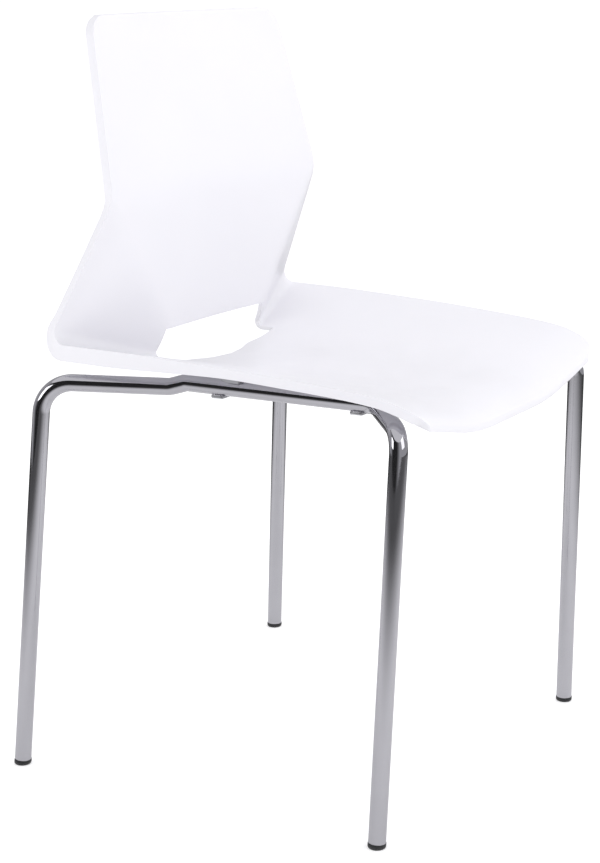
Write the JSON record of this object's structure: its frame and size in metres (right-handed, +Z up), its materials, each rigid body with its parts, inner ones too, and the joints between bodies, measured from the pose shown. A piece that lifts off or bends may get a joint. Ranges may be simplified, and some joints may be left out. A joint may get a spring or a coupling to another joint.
{
  "type": "stacking chair",
  "caption": "Stacking side chair: one-piece folded plastic seat and back with a lumbar opening, on a four-leg frame of bent chrome tube.",
  "frame": {"origin": "on the floor, at the middle of the chair's overall width and depth", "axes": "+X towards the sitter's left, +Y towards the back of the chair, +Z up"},
  "size_m": [0.5532, 0.4931, 0.8384],
  "materials": {
    "shell": "fine satin moulded polypropylene, cool white",
    "chrome_tube": "bright chrome plate on steel tube",
    "strap_steel": "chrome plated flat bar",
    "fastener_steel": "zinc plated steel",
    "insert_brass": "plain brass",
    "glide_plastic": "black moulded polyethylene",
    "pad_plastic": "grey moulded polyethylene"
  },
  "bodies": {
    "root": {"cross_strap_front": "strap_steel", "cross_strap_rear": "strap_steel", "glide_front_left": "glide_plastic", "glide_front_right": "glide_plastic", "glide_rear_left": "glide_plastic", "glide_rear_right": "glide_plastic", "rail_saddle_front_left": "pad_plastic", "rail_saddle_front_right": "pad_plastic", "rail_saddle_rear_left": "pad_plastic", "rail_saddle_rear_right": "pad_plastic", "screw_washers": "fastener_steel", "seat_screws": "fastener_steel", "seat_shell": "shell", "side_frame_left": "chrome_tube", "side_frame_right": "chrome_tube", "stack_pad_front_left": "pad_plastic", "stack_pad_front_right": "pad_plastic", "stack_pad_rear_left": "pad_plastic", "stack_pad_rear_right": "pad_plastic", "thread_inserts": "insert_brass"}
  },
  "joints": []
}
